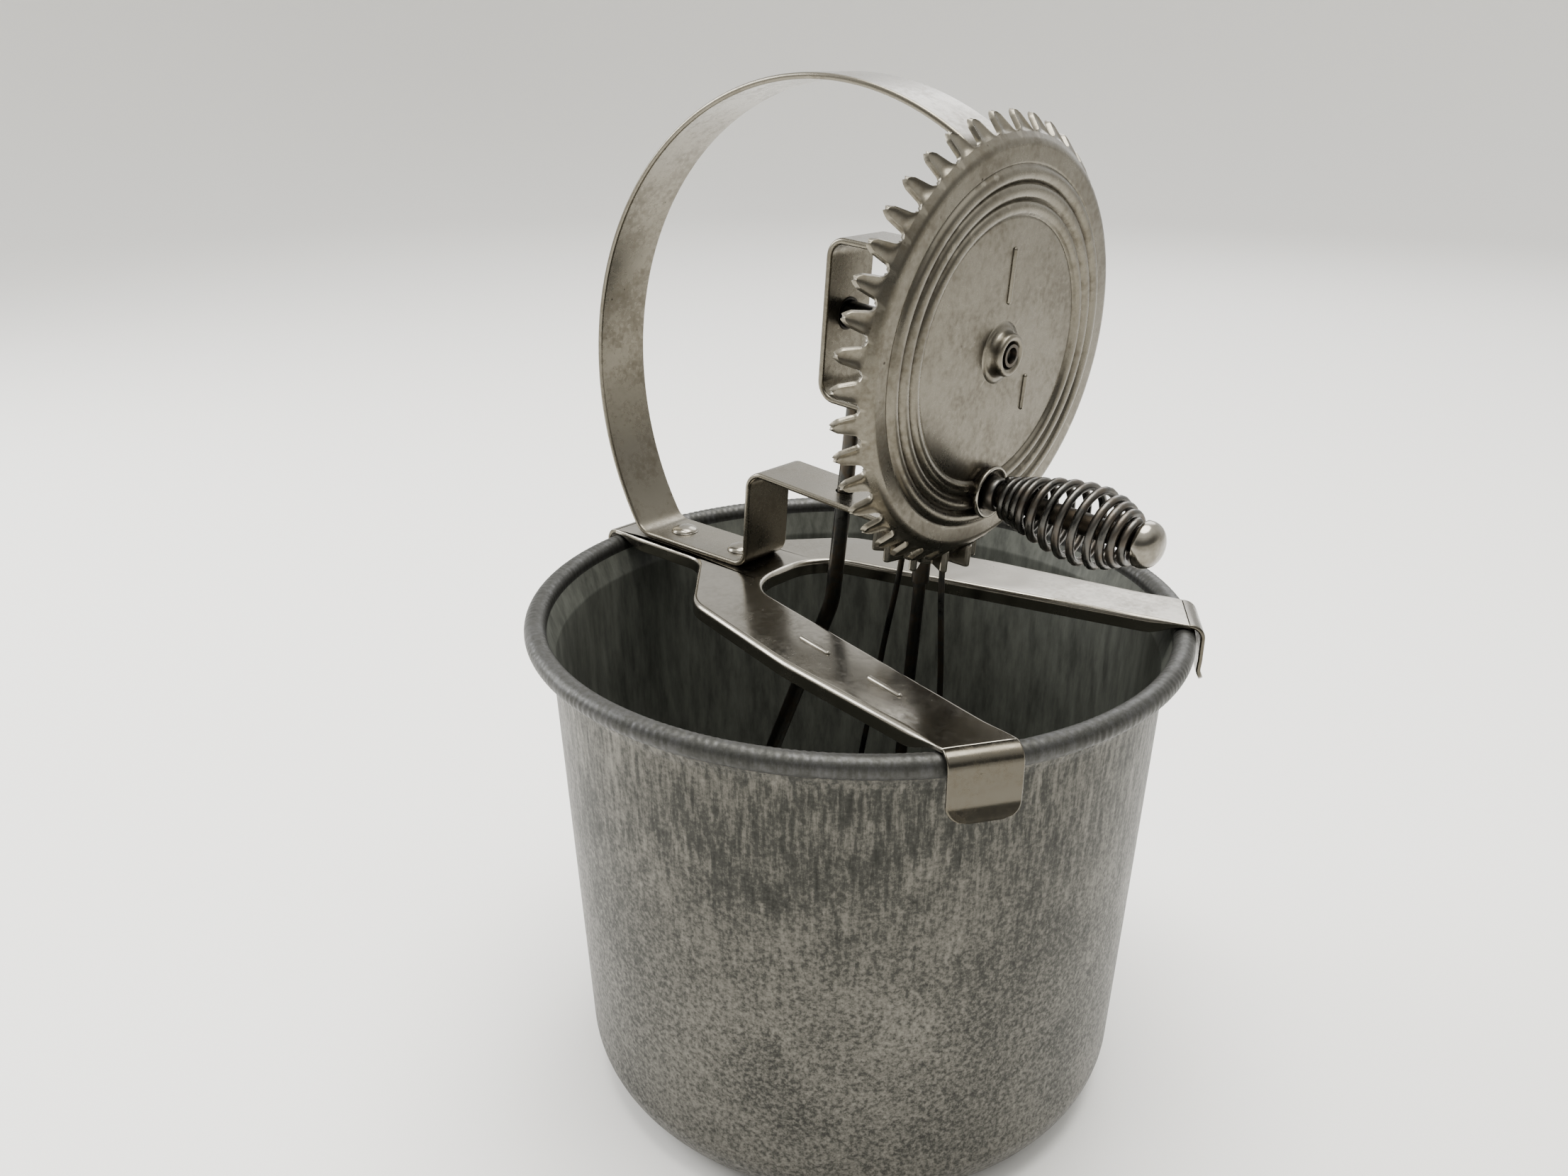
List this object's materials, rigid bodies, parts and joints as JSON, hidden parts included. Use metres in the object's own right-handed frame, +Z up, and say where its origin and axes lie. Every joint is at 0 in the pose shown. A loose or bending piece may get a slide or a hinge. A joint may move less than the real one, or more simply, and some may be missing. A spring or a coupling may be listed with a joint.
{
  "type": "hand-cranked dasher mixer",
  "caption": "Hand-cranked dasher mixer: geared wire dasher under a strap handle, clipped on the rim of a spun metal pot, with a sprung crank grip.",
  "frame": {"origin": "centre of the pot's flat underside", "axes": "+Z up along the pot's axis; +X from the handle's foot towards the crank; the wheel's axle and the dasher's shaft lean 4.5 degrees about Y"},
  "size_m": [0.1351, 0.132, 0.2044],
  "materials": {
    "pot_metal": "satin",
    "strip_nickel": "satin",
    "yoke_nickel": "gloss",
    "wheel_nickel": "satin",
    "pinion_nickel": "gloss",
    "steel_wire": "satin",
    "spring_steel": "satin"
  },
  "bodies": {
    "pot": {"pot": "pot_metal", "rim_wire": "steel_wire"},
    "mixer": {"rim_yoke": "yoke_nickel", "strap_frame": "strip_nickel", "rear_bracket": "strip_nickel", "foot_rivets": "strip_nickel", "stay_rod": "steel_wire", "foot_bearing": "steel_wire"},
    "drive_wheel": {"drive_wheel": "wheel_nickel", "wheel_axle": "steel_wire", "hub_sleeve": "steel_wire", "hub_eyelet": "wheel_nickel", "crank_collar": "wheel_nickel", "crank_pin": "steel_wire", "grip_end_cap": "wheel_nickel"},
    "grip": {"grip_spring": "spring_steel"},
    "dasher": {"dasher_shaft": "steel_wire", "dasher_pinion": "pinion_nickel", "pinion_sleeve": "steel_wire", "thrust_washer": "steel_wire", "shaft_collar": "steel_wire", "dasher_wires": "steel_wire", "dasher_ferrule": "steel_wire"}
  },
  "joints": [
    {"name": "mixer_lift", "type": "slide", "parent": "pot", "child": "mixer", "axis": [0, 0, 1], "range_m": [0, 0.12]},
    {"name": "wheel_spin", "type": "hinge", "parent": "mixer", "child": "drive_wheel", "pos_m": [0.0044, 0, 0.16193], "axis": [0.9969, 0, -0.0785], "continuous": true},
    {"name": "dasher_spin", "type": "hinge", "parent": "mixer", "child": "dasher", "pos_m": [0.01495, 0, 0.10482], "axis": [0.0785, 0, 0.9969], "continuous": true},
    {"name": "grip_spin", "type": "hinge", "parent": "drive_wheel", "child": "grip", "pos_m": [0.04232, 0, 0.13387], "axis": [0.9969, 0, -0.0785], "continuous": true}
  ],
  "couplings": [
    {"joint": "dasher_spin", "follows": "wheel_spin", "ratio": 4.2}
  ]
}
